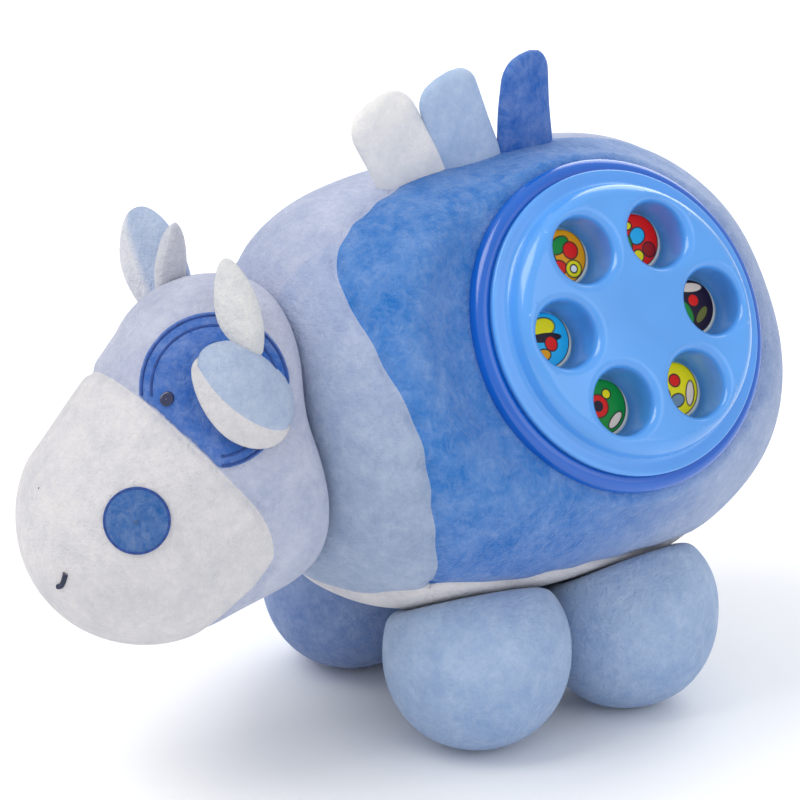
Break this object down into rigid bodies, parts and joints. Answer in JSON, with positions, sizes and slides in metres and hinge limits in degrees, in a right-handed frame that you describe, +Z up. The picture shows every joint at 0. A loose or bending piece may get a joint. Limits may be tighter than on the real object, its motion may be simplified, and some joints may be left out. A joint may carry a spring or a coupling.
{
  "type": "plush cow musical toy",
  "caption": "Plush toy cow with a round musical button module set in a socket on its left flank; the module, its buttons, switch and battery door move.",
  "frame": {"origin": "middle of the underside of the whole bounding box, on the plane the four soles stand on", "axes": "+Z up, -Y is the way the cow faces, +X is its left side, which carries the music module"},
  "size_m": [0.1412, 0.2544, 0.2012],
  "materials": {
    "board_green": "glass-fibre laminate",
    "button_black": "printed",
    "button_cyan": "printed",
    "button_green": "printed",
    "button_orange": "printed",
    "button_red": "printed",
    "button_yellow": "printed",
    "case_grey": "moulded",
    "cell_shell": "printed sleeve",
    "cone_paper": "pressed paper",
    "contact_steel": "nickel plated",
    "epoxy_black": "potted",
    "eye_black": "polished",
    "knob_black": "moulded",
    "leg_plush": "short-pile velour",
    "mat_rubber": "silicone",
    "patch_blue": "close-pile applique",
    "plate_blue": "moulded, glossy",
    "plush_blue": "short-pile velour",
    "plush_lavender": "short-pile velour",
    "plush_periwinkle": "short-pile velour",
    "plush_white": "short-pile velour",
    "ribbon_blue": "woven satin ribbon",
    "ribbon_light_blue": "woven satin ribbon",
    "ribbon_white": "woven satin ribbon",
    "ring_blue": "moulded, glossy",
    "screw_steel": "zinc plated",
    "speaker_black": "moulded",
    "stuffing": "polyester fibre",
    "thread_dark": "embroidery thread",
    "wire_red": "insulation"
  },
  "bodies": {
    "plush": {"back_tab_blue": "ribbon_blue", "back_tab_light_blue": "ribbon_light_blue", "back_tab_white": "ribbon_white", "belly_panel": "plush_white", "bezel_ring": "ring_blue", "crown_panel": "plush_periwinkle", "ear_left": "plush_periwinkle", "ear_lining_left": "plush_white", "ear_lining_right": "plush_white", "ear_right": "plush_periwinkle", "eye_left": "eye_black", "eye_patch_left": "patch_blue", "eye_patch_right": "patch_blue", "eye_right": "eye_black", "flank_panel_left": "plush_blue", "flank_panel_right": "plush_lavender", "head_stuffing": "stuffing", "horn_left": "plush_white", "horn_right": "plush_white", "leg_cover_front_left": "leg_plush", "leg_cover_front_right": "leg_plush", "leg_cover_rear_left": "leg_plush", "leg_cover_rear_right": "leg_plush", "leg_stuffing_front_left": "stuffing", "leg_stuffing_front_right": "stuffing", "leg_stuffing_rear_left": "stuffing", "leg_stuffing_rear_right": "stuffing", "mouth_stitch": "thread_dark", "muzzle_panel": "plush_white", "nostril_left": "patch_blue", "nostril_right": "patch_blue", "shoulder_panel_left": "plush_periwinkle", "socket_cup": "case_grey", "socket_screws": "screw_steel", "tail": "plush_periwinkle", "torso_stuffing": "stuffing"},
    "music_unit": {"front_plate": "plate_blue", "rear_shell": "case_grey", "case_screws": "screw_steel", "keypad_mat": "mat_rubber", "circuit_board": "board_green", "sound_chip": "epoxy_black", "speaker_frame": "speaker_black", "speaker_cone": "cone_paper", "battery_cells": "cell_shell", "battery_contacts": "contact_steel", "power_switch_body": "speaker_black", "internal_wires": "wire_red"},
    "power_switch": {"power_switch_knob": "knob_black"},
    "battery_door": {"battery_door": "case_grey", "battery_door_screw": "screw_steel"},
    "key_1": {"button_1": "button_black"},
    "key_2": {"button_2": "button_red"},
    "key_3": {"button_3": "button_orange"},
    "key_4": {"button_4": "button_cyan"},
    "key_5": {"button_5": "button_green"},
    "key_6": {"button_6": "button_yellow"}
  },
  "joints": [
    {"name": "unit_pull_out", "type": "slide", "parent": "plush", "child": "music_unit", "axis": [0.8829, 0, 0.4695], "range_m": [0, 0.055]},
    {"name": "press_1", "type": "slide", "parent": "music_unit", "child": "key_1", "axis": [0.8829, 0, 0.4695], "range_m": [-0.0015, 0], "stiffness_N_per_m": 300, "springref_m": 0.002, "deforming": ["keypad_mat"]},
    {"name": "press_2", "type": "slide", "parent": "music_unit", "child": "key_2", "axis": [0.8829, 0, 0.4695], "range_m": [-0.0015, 0], "stiffness_N_per_m": 300, "springref_m": 0.002, "deforming": ["keypad_mat"]},
    {"name": "press_3", "type": "slide", "parent": "music_unit", "child": "key_3", "axis": [0.8829, 0, 0.4695], "range_m": [-0.0015, 0], "stiffness_N_per_m": 300, "springref_m": 0.002, "deforming": ["keypad_mat"]},
    {"name": "press_4", "type": "slide", "parent": "music_unit", "child": "key_4", "axis": [0.8829, 0, 0.4695], "range_m": [-0.0015, 0], "stiffness_N_per_m": 300, "springref_m": 0.002, "deforming": ["keypad_mat"]},
    {"name": "press_5", "type": "slide", "parent": "music_unit", "child": "key_5", "axis": [0.8829, 0, 0.4695], "range_m": [-0.0015, 0], "stiffness_N_per_m": 300, "springref_m": 0.002, "deforming": ["keypad_mat"]},
    {"name": "press_6", "type": "slide", "parent": "music_unit", "child": "key_6", "axis": [0.8829, 0, 0.4695], "range_m": [-0.0015, 0], "stiffness_N_per_m": 300, "springref_m": 0.002, "deforming": ["keypad_mat"]},
    {"name": "power_slide", "type": "slide", "parent": "music_unit", "child": "power_switch", "axis": [0, 1, 0], "range_m": [0, 0.003]},
    {"name": "door_lift", "type": "slide", "parent": "music_unit", "child": "battery_door", "axis": [-0.8829, 0, -0.4695], "range_m": [0, 0.008]}
  ]
}
